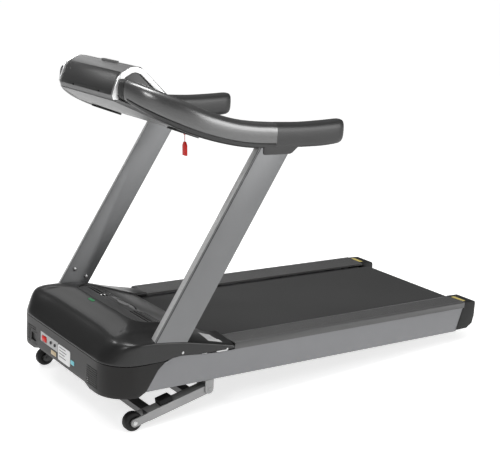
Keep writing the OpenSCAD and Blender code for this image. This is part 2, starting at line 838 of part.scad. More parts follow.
// Each well stands on a sloping oval plate under the tray
module cup_holders() {
    color("#1e1e20") deck() for (s = [-1, 1]) side(s) translate([cup_x, cup_y, cup_z]) {
        difference() {
            cylinder(r = cup_d / 2 + 3, h = cup_h, $fn = 96);
            translate([0, 0, 3]) cylinder(r = cup_d / 2, h = cup_h, $fn = 96);
        }
        difference() {
            translate([0, 0, tray_under - cup_z]) rotate([-tray_slope, 0, 0])
                translate([0, 0, -8]) linear_extrude(7.8) polygon([for (a = [0:7.5:352.5])
                    [(cup_d / 2 + 3) * cos(a), 73 * sin(a)]]);
            cylinder(r = cup_d / 2, h = cup_h, $fn = 96);
        }
    }
}

screen_w = 300;
screen_h = 96;
key_y = 172;
stop_x = 34;
start_x = -34;
rocker_x = 130;
rocker_w = 34;
rocker_h = 60;
rocker_pin_r = 2;

module console_face() {
    color("#242427") deck() face_frame() difference() {
        box([-console_hw + 10.5, 8.5, -4], [console_hw - 10.5, face_len - 8.5, 1]);
        box([-screen_w / 2, 22, -1.5], [screen_w / 2, 22 + screen_h, 2]);
        translate([start_x, key_y, -6]) cylinder(r = 16.3, h = 10, $fn = 64);
        translate([stop_x, key_y, -6]) cylinder(r = 22.3, h = 10, $fn = 64);
        both() box([rocker_x - rocker_w / 2 - 0.8, key_y - rocker_h / 2 - 0.8, -6],
            [rocker_x + rocker_w / 2 + 0.8, key_y + rocker_h / 2 + 0.8, 4]);
    }
    color("#242427") deck() face_frame() both() rocker_pin(rocker_pin_r, 1);
}

// Pin on which a rocker tilts, longer than the rocker by reach on each side
module rocker_pin(r, reach) {
    rod_x(key_y, -2, r, rocker_x - rocker_w / 2 - reach, rocker_x + rocker_w / 2 + reach, 48);
}

module display_screen() {
    color("black") deck() face_frame()
        box([-screen_w / 2 + 0.5, 22.5, -1.5], [screen_w / 2 - 0.5, 21.5 + screen_h, 0.6]);
}

module key(x, y, r, rise) {
    translate([x, y, -12]) cylinder(r = r, h = 12 + rise, $fn = 64);
}

module stop_button() {
    color("red") deck() face_frame() key(stop_x, key_y, 22, 5);
}

module start_key() {
    color("green") deck() face_frame() key(start_x, key_y, 16, 3);
}

module rocker(s) {
    color("gray") deck() face_frame() side(s) difference() {
        box([rocker_x - rocker_w / 2, key_y - rocker_h / 2, -6],
            [rocker_x + rocker_w / 2, key_y + rocker_h / 2, 3]);
        rocker_pin(rocker_pin_r + 0.05, 2);
    }
}

// ---------------------------------------------------------------- safety key, cord and tag
// These hang plumb, so they are drawn in the row frame
module key_socket() {
    translate([tag_x, tag_y, key_z - 12]) cylinder(r = 8.4, h = 44, $fn = 48);
}

module safety_key() {
    color("red") translate([tag_x, tag_y, 0]) difference() {
        union() {
            translate([0, 0, key_z]) cylinder(r = 8, h = 26, $fn = 48);
            translate([0, 0, cord_top - 1]) cylinder(r = 5, h = key_z - cord_top + 1, $fn = 48);
        }
        translate([0, 0, cord_top - 2]) cylinder(r = cord_d / 2 + 1.3, h = 3.5, $fn = 32);
    }
}

module safety_cord() {
    r = cord_d / 2;
    color("red") loft([for (p = cord_pts) [for (a = [0:45:315])
        [p[0] + r * cos(a), p[1] + r * sin(a), p[2]]]]);
}

module safety_tag() {
    color("red") translate([tag_x, tag_y + 4, tag_z]) rotate([90, 0, 0]) linear_extrude(8)
        polygon([[-14, 0], [14, 0], [14, 42], [6, tag_h], [-6, tag_h], [-14, 42]]);
}

frame_rail(1);  // frame_rail_left
frame_rail(-1);  // frame_rail_right
middle_crossmember();
rear_crossmember();
motor_tray();
side_panel(1);  // side_panel_left
side_panel(-1);  // side_panel_right
deck_board();
deck_cushions();
running_belt();
foot_rail(1);  // foot_rail_left
foot_rail(-1);  // foot_rail_right
end_cap(1);  // end_cap_left
end_cap(-1);  // end_cap_right
front_roller();
rear_roller();
roller_axles();
drive_motor();
motor_rotor();
drive_belt();
motor_controller();
hood_top();
hood_lower();
vent_panel();
power_plate();
power_inlet();
power_switch();
breaker_button(0);  // breaker_button_1
breaker_button(1);  // breaker_button_2
lift_frame();
lift_brackets();
lift_bump_stops();
lift_motor();
lift_screw();
wheel(1);  // wheel_left
wheel(-1);  // wheel_right
rear_foot(1);  // rear_foot_left
rear_foot(-1);  // rear_foot_right
foot_studs();
upright(1);  // upright_left
upright(-1);  // upright_right
upright_bolts();
handrail(1);  // handrail_left
handrail(-1);  // handrail_right
grip(1);  // grip_left
grip(-1);  // grip_right
console_housing();
console_back_panel();
console_arches();
console_tray();
console_face();
display_screen();
stop_button();
start_key();
rocker(1);  // speed_rocker
rocker(-1);  // incline_rocker
cup_holders();
safety_key();
safety_cord();
safety_tag();
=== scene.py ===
"""Visual model of the treadmill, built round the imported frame. Lengths in the making of pieces are
millimetres in the deck's own frame (X across, +Y to the rear end, Z up) unless a comment says
otherwise; to_row() turns them into the row frame's metres."""
import json
import math

import bmesh
import bpy
from mathutils import Matrix, Vector


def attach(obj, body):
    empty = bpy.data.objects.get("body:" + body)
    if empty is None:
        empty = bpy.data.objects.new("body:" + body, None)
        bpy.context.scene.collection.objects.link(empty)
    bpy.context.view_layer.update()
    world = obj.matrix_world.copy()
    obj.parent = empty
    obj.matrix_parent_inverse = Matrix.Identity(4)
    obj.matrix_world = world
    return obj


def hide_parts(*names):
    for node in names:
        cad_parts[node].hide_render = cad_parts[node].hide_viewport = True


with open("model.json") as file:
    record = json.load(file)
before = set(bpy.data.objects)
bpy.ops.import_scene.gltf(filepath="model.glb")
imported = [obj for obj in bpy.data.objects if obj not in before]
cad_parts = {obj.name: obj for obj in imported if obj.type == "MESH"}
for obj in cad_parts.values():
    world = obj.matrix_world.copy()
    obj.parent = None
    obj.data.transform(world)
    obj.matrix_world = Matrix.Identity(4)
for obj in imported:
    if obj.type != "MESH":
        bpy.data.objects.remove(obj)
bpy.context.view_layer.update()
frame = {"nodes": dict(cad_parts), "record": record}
NODES = frame["nodes"]
JOINTS = {j["name"]: j for j in frame["record"]["behaviour"]["joints"]}
SLOTS = {row["node"]: row["material_slot"] for row in frame["record"]["subparts"]}
BODIES = {node: body for body, nodes in frame["record"]["behaviour"]["bodies"].items()
          for node in nodes}

# ---------------------------------------------------------------- the deck's own frame
MM = 0.001
slide_axis = JOINTS["lift_screw_slide"]["axis"]
TILT = math.atan2(-slide_axis[2], slide_axis[1])
DECK_SHIFT = -30 * MM
DECK = Matrix.Translation((0, DECK_SHIFT, 0)) @ Matrix.Rotation(-TILT, 4, "X")
TO_DECK = DECK.inverted()


def to_row(point):
    return DECK @ (Vector(point) * MM)


def deck_box(node):
    """Lowest and highest corners of a CAD node in the deck's frame, in mm."""
    points = [TO_DECK @ v.co / MM for v in NODES[node].data.vertices]
    low = Vector([min(p[i] for p in points) for i in range(3)])
    high = Vector([max(p[i] for p in points) for i in range(3)])
    return low, high


# ---------------------------------------------------------------- camera, light and floor
CAMERA_PLACE = (3.9579, -2.8110, 1.9576)
CAMERA_TURN = (54.97, 15.44, 0.49)
CAMERA_LENS = 79.51


def add_camera():
    """Long lens from the front left, a little above the handrails. The turn is azimuth,
    elevation and roll in degrees."""
    azimuth, elevation, roll = (math.radians(angle) for angle in CAMERA_TURN)
    flat = math.cos(elevation)
    back = Vector((math.sin(azimuth) * flat, -math.cos(azimuth) * flat, math.sin(elevation)))
    right = Vector((math.cos(azimuth), math.sin(azimuth), 0))
    up = back.cross(right)
    x_axis = math.cos(roll) * right + math.sin(roll) * up
    y_axis = -math.sin(roll) * right + math.cos(roll) * up
    data = bpy.data.cameras.new("camera")
    data.sensor_width = 36
    data.lens = CAMERA_LENS
    data.clip_end = 100
    camera = bpy.data.objects.new("camera", data)
    bpy.context.scene.collection.objects.link(camera)
    turn = Matrix((x_axis, y_axis, back)).transposed()
    camera.matrix_world = Matrix.Translation(CAMERA_PLACE) @ turn.to_4x4()
    bpy.context.scene.camera = camera


def add_area(name, place, target, size, power):
    """Softbox of a given size in metres and power in watts, turned towards a target."""
    data = bpy.data.lights.new(name, "AREA")
    data.shape = "RECTANGLE"
    data.size, data.size_y = size
    data.energy = power
    light = bpy.data.objects.new(name, data)
    bpy.context.scene.collection.objects.link(light)
    light.location = place
    light.rotation_euler = (Vector(target) - Vector(place)).to_track_quat("-Z", "Y").to_euler()


def add_studio():
    """Softboxes over, beside and behind the camera, and one for the hood's front corner."""
    middle = (0, 0, 0.6)
    add_area("top_light", (0.3, -0.9, 3.8), middle, (1.6, 1.6), 85)
    add_area("rear_light", (4.2, 2.4, 1.5), (0.4, -0.1, 1.1), (2.2, 1.3), 62)
    add_area("front_light", (2.4, -3.8, 2.7), middle, (1.4, 1.0), 38)
    add_area("corner_light", (-2.5, -2.34, 3.2), (0.4, -0.9, 0.3), (0.7, 0.7), 26)
    add_area("left_light", (-3.8, 0.4, 2.5), (0, -0.8, 0.3), (1.6, 1.2), 8)
    add_sky()
    bpy.context.scene.view_settings.view_transform = "Standard"


def add_sky():
    """Studio surroundings: grey walls under a bright ceiling."""
    world = bpy.data.worlds.new("studio")
    bpy.context.scene.world = world
    world.use_nodes = True
    nodes = world.node_tree.nodes
    link = world.node_tree.links.new
    place = nodes.new("ShaderNodeTexCoord")
    parts = nodes.new("ShaderNodeSeparateXYZ")
    link(place.outputs["Generated"], parts.inputs["Vector"])
    ramp = nodes.new("ShaderNodeValToRGB")
    link(parts.outputs["Z"], ramp.inputs["Fac"])
    low, high = ramp.color_ramp.elements
    low.position, high.position = 0.6, 0.93
    low.color = (0.17, 0.17, 0.17, 1)
    high.color = (0.9, 0.9, 0.9, 1)
    background = nodes["Background"]
    link(ramp.outputs["Color"], background.inputs["Color"])
    background.inputs["Strength"].default_value = 0.9


def add_floor():
    """Pale floor that glows a little, so it stays an even white away from the lights."""
    bpy.ops.mesh.primitive_plane_add(size=60, location=(0, 0, 0))
    floor = bpy.context.object
    floor.name = "floor"
    material = bpy.data.materials.new("floor_white")
    material.use_nodes = True
    shader = material.node_tree.nodes["Principled BSDF"]
    shader.inputs["Base Color"].default_value = (0.75, 0.75, 0.75, 1)
    shader.inputs["Roughness"].default_value = 0.8
    shader.inputs["Emission Color"].default_value = (1, 1, 1, 1)
    shader.inputs["Emission Strength"].default_value = 0.7
    floor.data.materials.append(material)


# ---------------------------------------------------------------- materials
def tone(level, tint=(1, 1, 1)):
    """Linear colour of an sRGB level from 0 to 255, slightly tinted."""
    value = level / 255
    linear = value / 12.92 if value < 0.04 else ((value + 0.055) / 1.055) ** 2.4
    return tuple(linear * t for t in tint)


def surface(name, colour, rough, metal=0.0, mottle=0.12, patch=9.0, grain=900.0, depth=0.05,
            stretch=(1, 1, 1), spread=0.06, coat=0.0, specular=0.5, cells=False):
    """Principled material with broad colour patches, fine grain in the relief and an uneven gloss.
    patch and grain are counted per metre, depth is the relief in mm."""
    material = bpy.data.materials.new(name)
    material.use_nodes = True
    nodes = material.node_tree.nodes
    link = material.node_tree.links.new
    shader = nodes["Principled BSDF"]
    place = nodes.new("ShaderNodeTexCoord")
    mapping = nodes.new("ShaderNodeMapping")
    mapping.inputs["Scale"].default_value = stretch
    link(place.outputs["Object"], mapping.inputs["Vector"])

    broad = nodes.new("ShaderNodeTexNoise")
    broad.inputs["Scale"].default_value = patch
    broad.inputs["Detail"].default_value = 4
    link(place.outputs["Object"], broad.inputs["Vector"])
    mix = nodes.new("ShaderNodeMix")
    mix.data_type = "RGBA"
    link(broad.outputs["Fac"], mix.inputs[0])
    mix.inputs[6].default_value = (*(c * (1 - mottle) for c in colour), 1)
    mix.inputs[7].default_value = (*(min(c * (1 + mottle), 1) for c in colour), 1)
    link(mix.outputs[2], shader.inputs["Base Color"])

    if cells:
        fine = nodes.new("ShaderNodeTexVoronoi")
        height = fine.outputs["Distance"]
    else:
        fine = nodes.new("ShaderNodeTexNoise")
        fine.inputs["Detail"].default_value = 3
        height = fine.outputs["Fac"]
    fine.inputs["Scale"].default_value = grain
    link(mapping.outputs["Vector"], fine.inputs["Vector"])
    bump = nodes.new("ShaderNodeBump")
    bump.inputs["Strength"].default_value = 0.6
    bump.inputs["Distance"].default_value = depth * MM
    link(height, bump.inputs["Height"])
    link(bump.outputs["Normal"], shader.inputs["Normal"])

    gloss = nodes.new("ShaderNodeMapRange")
    gloss.inputs["To Min"].default_value = max(rough - spread, 0.02)
    gloss.inputs["To Max"].default_value = rough + spread
    link(height, gloss.inputs["Value"])
    link(gloss.outputs["Result"], shader.inputs["Roughness"])
    shader.inputs["Metallic"].default_value = metal
    shader.inputs["Coat Weight"].default_value = coat
    shader.inputs["Coat Roughness"].default_value = 0.12
    shader.inputs["Specular IOR Level"].default_value = specular
    return material


MATERIALS = {
    "frame_steel": surface("frame_steel", tone(52), 0.5, grain=1500),
    "silver_panel": surface("silver_panel", tone(120, (0.98, 0.99, 1.02)), 0.42, metal=0.55,
                            stretch=(1, 0.03, 1), grain=700, depth=0.02, mottle=0.05),
    # Deck board made near black: painted shade, so that the gap under the foot rails' inner edges
    # reads dark.
    "board_wood": surface("board_wood", tone(30), 0.5, stretch=(1, 0.1, 1), grain=300),
    "rubber": surface("rubber", tone(24), 0.75, grain=1300, depth=0.08, specular=0.2),
    "belt": surface("belt", tone(58), 0.66, mottle=0.1, patch=3, grain=700, depth=0.12,
                    specular=0.2, cells=True),
    "rail_plastic": surface("rail_plastic", tone(78), 0.34, grain=1100, depth=0.06,
                            stretch=(1, 0.05, 1)),
    "black_plastic": surface("black_plastic", tone(22), 0.42, grain=1600, depth=0.05, specular=0.25),
    "hood_paint": surface("hood_paint", tone(52), 0.33, metal=0.7, mottle=0.06, patch=4,
                          grain=2600, depth=0.01, coat=0.12, specular=0.2),
    "hood_lower_plastic": surface("hood_lower_plastic", tone(20, (1.08, 1, 0.96)), 0.42, grain=1500,
                                  depth=0.05, mottle=0.06, specular=0.25),
    "vent_plastic": surface("vent_plastic", tone(66), 0.4, grain=1500, depth=0.05),
    "roller_steel": surface("roller_steel", tone(200), 0.3, metal=1, stretch=(8, 1, 1), grain=300,
                            depth=0.01),
    "zinc": surface("zinc", tone(190), 0.34, metal=1, grain=400, depth=0.02),
    "motor_paint": surface("motor_paint", tone(48), 0.42, grain=900),
    "cast": surface("cast", tone(90), 0.5, metal=0.7, grain=500, depth=0.1),
    "board_green": surface("board_green", (0.03, 0.16, 0.06), 0.4, grain=600),
    "power_plate_grey": surface("power_plate_grey", tone(150), 0.4, metal=0.3, grain=1500),
    "red_plastic": surface("red_plastic", (0.50, 0.012, 0.008), 0.4, grain=1800, depth=0.02,
                           specular=0.2),
    "green_plastic": surface("green_plastic", (0.02, 0.25, 0.07), 0.3, grain=1800, depth=0.02),
    "lift_silver": surface("lift_silver", tone(140), 0.42, metal=0.35, grain=1400, depth=0.04),
    "upright_silver": surface("upright_silver", tone(112, (0.985, 1, 1.015)), 0.4, metal=0.6,
                              stretch=(1, 1, 0.03), grain=700, depth=0.015, mottle=0.06),
    "handrail_grey": surface("handrail_grey", tone(104), 0.27, metal=0.8, grain=2200, depth=0.012,
                             mottle=0.05, spread=0.03),
    "grip_grey": surface("grip_grey", tone(66), 0.34, metal=0.5, grain=1500, depth=0.04, mottle=0.08,
                         specular=0.3),
    "console_grey": surface("console_grey", tone(90), 0.4, metal=0.2, grain=1800, depth=0.03,
                            mottle=0.05),
    "console_dark": surface("console_dark", tone(36), 0.4, grain=1500, depth=0.04, specular=0.3),
    "chrome_trim": surface("chrome_trim", tone(240), 0.3, metal=0.75, grain=1200, depth=0.005,
                           mottle=0.03),
    "screen_glass": surface("screen_glass", tone(14), 0.08, grain=300, depth=0.0, mottle=0.2),
    "key_grey": surface("key_grey", tone(130), 0.5, grain=1500),
    "wheel_black": surface("wheel_black", tone(24), 0.55, grain=900, depth=0.08, specular=0.25),
    "cord_red": surface("cord_red", (0.42, 0.02, 0.015), 0.7, grain=3000, depth=0.1),
}
EXTRA = {
    "strip_metal": surface("strip_metal", tone(176), 0.45, metal=0.4, grain=900, depth=0.15,
                           mottle=0.15, patch=120),
    "dark_seam": surface("dark_seam", tone(20), 0.5, grain=1500),
    "rail_under": surface("rail_under", tone(26), 0.36, grain=1700, depth=0.03),
    "label_white": surface("label_white", tone(205), 0.5, grain=1500, depth=0.01, mottle=0.03),
    "label_tan": surface("label_tan", (0.42, 0.33, 0.20), 0.5, grain=1500, depth=0.01),
    "label_teal": surface("label_teal", (0.12, 0.42, 0.48), 0.5, grain=1500, depth=0.01),
    "label_yellow": surface("label_yellow", (0.52, 0.42, 0.12), 0.5, grain=1500, depth=0.01),
    "label_green": surface("label_green", (0.03, 0.22, 0.08), 0.5, grain=1500, depth=0.01),
    "label_ink": surface("label_ink", tone(60), 0.5, grain=1500, depth=0.01),
    "display_lit": surface("display_lit", (0.10, 0.35, 0.42), 0.4, grain=900, depth=0.0),
    "hub_grey": surface("hub_grey", tone(150), 0.4, metal=0.5, grain=900),
    "badge_grey": surface("badge_grey", tone(128), 0.4, metal=0.4, grain=1500, depth=0.01),
}


# ---------------------------------------------------------------- making pieces
def link_mesh(name, mesh):
    obj = bpy.data.objects.new(name, mesh)
    bpy.context.scene.collection.objects.link(obj)
    return obj


def form(name, points, faces):
    """Mesh object from deck-frame points in mm, with its faces turned outwards."""
    mesh = bpy.data.meshes.new(name)
    mesh.from_pydata([to_row(p) for p in points], [], faces)
    tidy = bmesh.new()
    tidy.from_mesh(mesh)
    bmesh.ops.remove_doubles(tidy, verts=tidy.verts, dist=0.01 * MM)
    bmesh.ops.recalc_face_normals(tidy, faces=tidy.faces)
    tidy.to_mesh(mesh)
    tidy.free()
    return link_mesh(name, mesh)


def remap(obj, change):
    """Moves every point of a mesh; change maps a deck-frame point to its new place."""
    for vertex in obj.data.vertices:
        vertex.co = to_row(change(TO_DECK @ vertex.co / MM))


def add_modifier(obj, kind, **settings):
    modifier = obj.modifiers.new(kind.lower(), kind)
    for key, value in settings.items():
        setattr(modifier, key, value)
    return modifier


def settle(obj, sharp=38):
    """Applies the modifiers, then smooths the shading except over sharp edges, in degrees."""
    graph = bpy.context.evaluated_depsgraph_get()
    mesh = bpy.data.meshes.new_from_object(obj.evaluated_get(graph))
    obj.modifiers.clear()
    old = obj.data
    obj.data = mesh
    bpy.data.meshes.remove(old)
    edges = bmesh.new()
    edges.from_mesh(mesh)
    bmesh.ops.dissolve_degenerate(edges, edges=edges.edges, dist=0.0001 * MM)
    limit = math.radians(sharp)
    for face in edges.faces:
        face.smooth = True
    for edge in edges.edges:
        edge.smooth = len(edge.link_faces) == 2 and edge.calc_face_angle(0) < limit
    edges.to_mesh(mesh)
    edges.free()


def dress(obj, body, slot, material=None, stands_for=(), bevel=0, segments=2, sharp=38):
    """Bevels and settles a piece, gives it its material and fastens it to a body."""
    if bevel:
        add_modifier(obj, "BEVEL", width=bevel * MM, segments=segments, limit_method="ANGLE",
                     angle_limit=math.radians(28), use_clamp_overlap=True)
    settle(obj, sharp)
    if not obj.data.materials:
        obj.data.materials.append(material or MATERIALS[slot])
    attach(obj, body)
    if stands_for:
        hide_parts(*stands_for)
    return obj


BOX_FACES = [(0, 1, 3, 2), (4, 6, 7, 5), (0, 4, 5, 1), (2, 3, 7, 6), (0, 2, 6, 4), (1, 5, 7, 3)]


def box_form(name, low, high):
    """Plain six-sided mesh between two corners, for a cutter or to be rounded."""
    points = [(x, y, z) for x in (low[0], high[0]) for y in (low[1], high[1])
              for z in (low[2], high[2])]
    return form(name, points, BOX_FACES)


def block(name, low, high, body, slot, material=None, bevel=1.0, segments=3):
    """Small block with rounded edges, between two corners."""
    return dress(box_form(name, low, high), body, slot, material, bevel=bevel, segments=segments)


def tube_faces(rings, around, closed=True):
    """Four-sided faces between neighbouring rings of points, or rows when not closed."""
    faces = []
    for i in range(rings - 1):
        for j in range(around if closed else around - 1):
            k = (j + 1) % around
            faces.append((i * around + j, i * around + k, (i + 1) * around + k,
                          (i + 1) * around + j))
    return faces


def loft(name, rings):
    """Closed skin through rings of equal point count, with a face over each end."""
    around = len(rings[0])
    faces = tube_faces(len(rings), around)
    faces.append(tuple(range(around)))
    faces.append(tuple(range((len(rings) - 1) * around, len(rings) * around)))
    return form(name, [p for ring in rings for p in ring], faces)


def lathe(name, profile, centre, axis="x", around=48):
    """Turned piece: profile is (distance along the axis, radius), from axis to axis."""
    rings = []
    for along, radius in profile:
        ring = []
        for k in range(around):
            a = 2 * math.pi * k / around
            u, v = max(radius, 0.02) * math.cos(a), max(radius, 0.02) * math.sin(a)
            offset = {"x": (along, u, v), "y": (u, along, v), "z": (u, v, along)}[axis]
            ring.append(Vector(offset))
        rings.append(ring)
    return loft(name, [[p + Vector(centre) for p in ring] for ring in rings])


def refined(node, bevel=0.8, segments=2, sharp=38, material=None, paint_faces=None):
    """Copy of a CAD node with its edges rounded, standing for that node."""
    mesh = NODES[node].data.copy()
    mesh.materials.clear()
    skin = bmesh.new()
    skin.from_mesh(mesh)
    bmesh.ops.remove_doubles(skin, verts=skin.verts, dist=0.002 * MM)
    bmesh.ops.dissolve_limit(skin, angle_limit=math.radians(0.6), verts=skin.verts,
                             edges=skin.edges)
    skin.to_mesh(mesh)
    skin.free()
    obj = link_mesh(node + "_skin", mesh)
    slot = SLOTS[node]
    mesh.materials.append(material or MATERIALS[slot])
    if paint_faces:
        other, chosen = paint_faces
        mesh.materials.append(other)
        for face in mesh.polygons:
            face.material_index = int(chosen(TO_DECK @ face.center / MM))
    return dress(obj, BODIES[node], slot, stands_for=(node,), bevel=bevel, segments=segments,
                 sharp=sharp)


def between(value, table):
    """Straight-line reading of a table of (key, value) pairs sorted by key."""
    if value <= table[0][0]:
        return table[0][1]
    for (k0, v0), (k1, v1) in zip(table, table[1:]):
        if value <= k1:
            return v0 + (v1 - v0) * (value - k0) / (k1 - k0)
    return table[-1][1]


def ease(t):
    """Smooth step from 0 to 1."""
    t = min(max(t, 0), 1)
    return t * t * (3 - 2 * t)


# ---------------------------------------------------------------- hood
HOOD_LOW, HOOD_HIGH = deck_box("hood_top")
HALF_W = HOOD_HIGH.x
NOSE_Y = HOOD_LOW.y
TAIL_Y = HOOD_HIGH.y
CORNER_R = 130
VENT_LOW, VENT_HIGH = deck_box("vent_panel")
VENT_R = 70
WAIST_Z = HOOD_LOW.z
SKIRT_TOP = ((-783, 312), (-642, 295), (TAIL_Y, 246))
VENT_TOP = ((-782, 343), (-690, 334.7), (-456, 257.5))
RIM_LIFT = 7
SHELL_RUN = 149
SHELL_THICK = 2.6
SKIRT_SCREWS = ((-653.8, 250.9), (-440.2, 233.1))
BADGE_Y = -687
BADGE_STRETCH = (1.55, 0.8)
BADGE_SLOPE = 0.2
LOUVRE_COUNT = 9
LOUVRE_PITCH = 9
LOUVRE_GAP = 3.6
LOUVRE_Z = 114
LOUVRE_X = (240, 330)


def hood_stations():
    """Stations round the hood's plan, from the left tail round the nose to the right tail:
    (point, inward direction, frontness from 0 to 1, matching point on the vent's outline)."""
    corner_y = NOSE_Y + CORNER_R
    vent_corner = VENT_LOW.y + VENT_R
    half = []
    for y in (TAIL_Y, -415, -440, -480, -520, -560, -600, -642, -680, -700, -735, -764, -790, -812,
              corner_y):
        vent_y = TAIL_Y + (y - TAIL_Y) * (vent_corner - TAIL_Y) / (corner_y - TAIL_Y)
        half.append(((HALF_W, y), (-1, 0), 0, (VENT_HIGH.x, vent_y)))
    for step in range(1, 13):
        a = math.radians(step * 7.5)
        out = (math.cos(a), -math.sin(a))
        half.append(((HALF_W - CORNER_R * (1 - out[0]), corner_y + CORNER_R * out[1]),
                     (-out[0], -out[1]), 0.8 * ease(step / 12),
                     (VENT_HIGH.x - VENT_R * (1 - out[0]), vent_corner + VENT_R * out[1])))
    flat = HALF_W - CORNER_R
    for part, weight in ((0.85, 0.9), (0.7, 0.97), (0.5, 1), (0.25, 1), (0, 1)):
        half.append(((flat * part, NOSE_Y), (0, 1), weight,
                     ((VENT_HIGH.x - VENT_R) * part, VENT_LOW.y)))
    other = [((-p[0], p[1]), (-n[0], n[1]), w, (-v[0], v[1])) for p, n, w, v in half[-2::-1]]
    return half + other


def blend_points(side, front, weight):
    """Profile part of the way from the side's to the front's."""
    return [(a[0] * (1 - weight) + b[0] * weight, a[1] * (1 - weight) + b[1] * weight)
            for a, b in zip(side, front)]


def shell_height(y, inset):
    """Height of the hood's side between its edge and the vent's rim, inset from the edge."""
    edge = between(y, SKIRT_TOP)
    rim = between(y, VENT_TOP) + RIM_LIFT
    return edge + (rim - edge) * (1 - (1 - inset / SHELL_RUN) ** 1.6)


def hood_profile(y, weight):
    """(inset, height) from the waist over the shoulder, then on to the vent's rim."""
    edge = between(y, SKIRT_TOP)
    foot = max(WAIST_Z, between(y, ((-735, WAIST_Z), (-700, 236), (-657, 240), (-560, 231))))
    side = [(0, foot), (0, foot + 4), (0, foot + (edge - foot) * 0.5), (0, edge - 10),
            (1.5, edge - 3.5), (5, edge + 0.5)]
    side += [(inset, shell_height(y, inset)) for inset in (14, 30, 50, 80)]
    front = [(0.6, WAIST_Z), (1.5, WAIST_Z + 7), (12, 249), (32, 275), (52, 299), (66, 313),
             (78, 321), (92, 327), (112, 332), (135, 337)]
    return blend_points(side, front, weight)


def make_hood_top():
    """Painted top moulding: one sheet round the vent, thickened and smoothed."""
    rows = []
    for point, inward, weight, vent in hood_stations():
        row = [(point[0] + inward[0] * d, point[1] + inward[1] * d, z)
               for d, z in hood_profile(point[1], weight)]
        last = Vector(row[-1])
        panel = between(vent[1], VENT_TOP)
        rim = Vector((vent[0], vent[1], panel + RIM_LIFT))
        for t in (0.35, 0.7, 0.93, 1.0):
            swell = 2.0 * math.sin(math.pi * t) * weight
            row.append(last.lerp(rim, t) + Vector((0, 0, swell)))
        drop = panel - 3 if vent[1] < -456 else 244
        inner_x = math.copysign(max(abs(vent[0]) - 2.5, 0), vent[0])
        inner = Vector((inner_x, vent[1] + 1.5, rim.z - 3))
        row.append(inner)
        row.append(Vector((inner.x, inner.y, drop)))
        rows.append(row)
    across = len(rows[0])
    points = [p for row in rows for p in row]
    faces = tube_faces(len(rows), across, closed=False)
    obj = form("hood_top_shell", points, faces)
    add_modifier(obj, "SOLIDIFY", thickness=SHELL_THICK * MM, offset=-1)
    add_modifier(obj, "SUBSURF", levels=1, render_levels=1)
    dress(obj, "root", "hood_paint", stands_for=("hood_top",), sharp=50)


def cut(obj, cutters):
    """Takes each cutter's space out of a piece, then deletes the cutters."""
    for cutter in cutters:
        add_modifier(obj, "BOOLEAN", object=cutter, operation="DIFFERENCE", solver="EXACT")
    settle(obj)
    for cutter in cutters:
        bpy.data.objects.remove(cutter)


def make_hood_lower():
    """Lower moulding, with its cheeks lower than the middle, cut for the mains panel and louvres."""
    inset = 1.4
    rows = []
    for point, inward, weight, _ in hood_stations():
        if point[1] > -735:
            continue
        if weight == 0:
            foot = between(point[1], ((-812, 112), (-790, 150), (-764, 195), (-735, 222)))
            foot = 91 if point[1] < -820 else foot
        else:
            foot = between(abs(point[0]), ((222, 105), (246, 91)))
        top = WAIST_Z - 1.6
        tall = top - foot
        tuck = min(tall / 80, 1)
        rows.append([(point[0] + inward[0] * (d * tuck + inset),
                      point[1] + inward[1] * (d * tuck + inset), foot + tall * up)
                     for up, d in ((1, 2.4), (0.985, 0), (0.66, 0), (0.33, 0), (0.13, 0.4),
                                   (0.05, 1.2), (0.012, 2.5), (0, 4.5))])
    across = len(rows[0])
    obj = form("hood_lower_shell", [p for row in rows for p in row],
               tube_faces(len(rows), across, closed=False))
    add_modifier(obj, "SOLIDIFY", thickness=SHELL_THICK * MM, offset=-1)
    settle(obj)
    plate_low, plate_high = deck_box("power_plate")
    inlet_low, inlet_high = deck_box("power_inlet")
    grow = Vector((0.6, 20, 0.6))
    cutters = [box_form("cutter", plate_low - grow, plate_high + grow),
               box_form("cutter", inlet_low - grow, inlet_high + grow)]
    for side in (-1, 1):
        for row in range(LOUVRE_COUNT):
            z = LOUVRE_Z + LOUVRE_PITCH * row
            xs = sorted(side * x for x in LOUVRE_X)
            cutters.append(box_form("cutter", (xs[0], NOSE_Y - 20, z),
                                    (xs[1], NOSE_Y + 40, z + LOUVRE_GAP)))
    cut(obj, cutters)
    dress(obj, "root", "hood_lower_plastic", stands_for=("hood_lower",), sharp=32)
    # Black plates a little behind the louvres: painted shade, dark sheets that stand for the
    # shadowed inside of the hood.
    for side, name in ((1, "left"), (-1, "right")):
        xs = sorted((side * (LOUVRE_X[0] - 4), side * (LOUVRE_X[1] + 4)))
        block("louvre_shade_plate_" + name, (xs[0], NOSE_Y + 9, 108), (xs[1], NOSE_Y + 12, 194), "root",
              "black_plastic", bevel=0.8)


def make_hood_details():
    """Oval badge on the vent, a small sticker and the screws along the skirt."""
    top = between(-689, VENT_TOP)
    badge = lathe("vent_badge", [(-2, 0), (-2, 24), (2.0, 24), (3.4, 21.5), (3.4, 20), (2.6, 19),
                                 (2.9, 0)], (0, 0, 0), axis="z", around=64)
    remap(badge, lambda p: (p.x * BADGE_STRETCH[0], p.y * BADGE_STRETCH[1] + BADGE_Y,
                            p.z + top - 0.7 - BADGE_SLOPE * p.y))
    dress(badge, "root", "power_plate_grey", EXTRA["badge_grey"], bevel=0.3)
    label("sticker_green", (-62, -806, 347.6), (21, 7), "label_green", tip=12)
    for index, (y, z) in enumerate(SKIRT_SCREWS):
        for side, name in ((1, "left"), (-1, "right")):
            screw = lathe(f"skirt_screw_{index + 1}_{name}",
                          [(-3, 0), (-3, 5.6), (0.4, 5.6), (1.5, 4.2), (1.7, 2.2), (0.6, 1.8),
                           (0.6, 0)], (0, 0, 0), axis="x", around=32)
            remap(screw, lambda p: (side * (p.x + HALF_W), p.y + y, p.z + z))
            face_outwards(screw)
            dress(screw, "root", "zinc")


